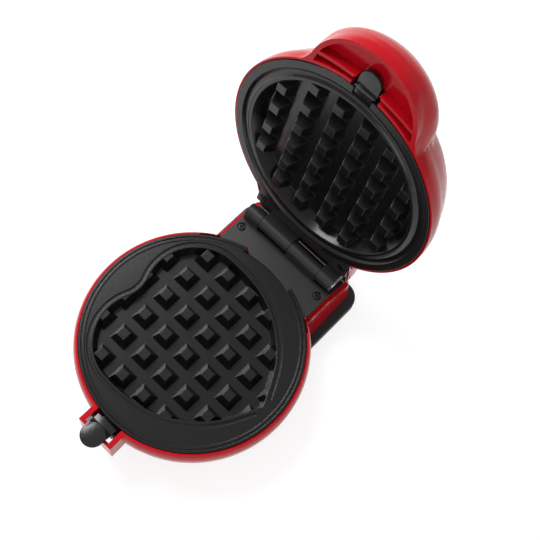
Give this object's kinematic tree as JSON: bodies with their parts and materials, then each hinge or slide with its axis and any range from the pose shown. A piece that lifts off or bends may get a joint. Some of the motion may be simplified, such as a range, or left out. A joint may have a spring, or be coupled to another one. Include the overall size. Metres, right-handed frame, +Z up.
{
  "type": "griddle and waffle maker",
  "caption": "Mini griddle and waffle maker: round hinged halves with removable waffle plates, release tabs, finger handle and heating parts",
  "frame": {"origin": "on the table, in the middle of the footprint of the open appliance", "axes": "+Z up, -Y to the user at the front tab, hinge axis along X"},
  "size_m": [0.1264, 0.2062, 0.1924],
  "materials": {
    "red_shell": "glossy deep red moulding",
    "nonstick_black": "satin non-stick coating on cast aluminium",
    "hinge_plastic": "satin dark grey moulding",
    "bright_steel": "ground bright",
    "zinc_steel": "zinc plated",
    "black_gloss": "glossy black moulding",
    "element_steel": "dull grey sheath",
    "pan_aluminium": "plain pressed sheet",
    "brass_can": "drawn can",
    "cover_black": "fine grain",
    "foot_rubber": "matt",
    "amber_lens": "clear amber",
    "lamp_glass": "clear glass"
  },
  "bodies": {
    "base": {"base_housing": "red_shell", "base_waffle_plate": "nonstick_black", "base_hinge_bracket": "hinge_plastic", "hinge_pin": "bright_steel", "base_hinge_screws": "zinc_steel", "base_release_pin": "bright_steel", "base_heating_element": "element_steel", "base_heat_shield": "pan_aluminium", "base_shield_screws": "zinc_steel", "base_thermostat": "pan_aluminium", "thermal_fuse": "brass_can", "rear_foot": "red_shell", "rear_foot_screws": "zinc_steel", "bottom_cover": "cover_black", "bottom_cover_screws": "zinc_steel", "rubber_feet": "foot_rubber", "terminal_block": "cover_black", "cord_grommet": "foot_rubber"},
    "lid": {"lid_shell": "red_shell", "lid_waffle_plate": "nonstick_black", "lid_hinge_bracket": "hinge_plastic", "lid_hinge_screws": "zinc_steel", "lid_release_pin": "bright_steel", "lid_heating_element": "element_steel", "lid_heat_shield": "pan_aluminium", "lid_shield_screws": "zinc_steel", "indicator_lens": "amber_lens", "indicator_lamp": "lamp_glass"},
    "base_tab": {"base_release_tab": "black_gloss", "base_release_spring": "bright_steel"},
    "lid_tab": {"lid_release_tab": "black_gloss", "lid_release_spring": "bright_steel"}
  },
  "joints": [
    {"name": "lid_hinge", "type": "hinge", "parent": "base", "child": "lid", "pos_m": [0, 0.0494, 0.0355], "axis": [1, 0, 0], "range_deg": [0, 101]},
    {"name": "base_release", "type": "hinge", "parent": "base", "child": "base_tab", "pos_m": [0, -0.0889, 0.026], "axis": [1, 0, 0], "range_deg": [0, 8], "stiffness_Nm_per_rad": 0.05, "springref_deg": -11.46},
    {"name": "lid_release", "type": "hinge", "parent": "lid", "child": "lid_tab", "pos_m": [0, 0.08445, 0.16866], "axis": [-1, 0, 0], "range_deg": [0, 7], "stiffness_Nm_per_rad": 0.05, "springref_deg": -11.46}
  ]
}
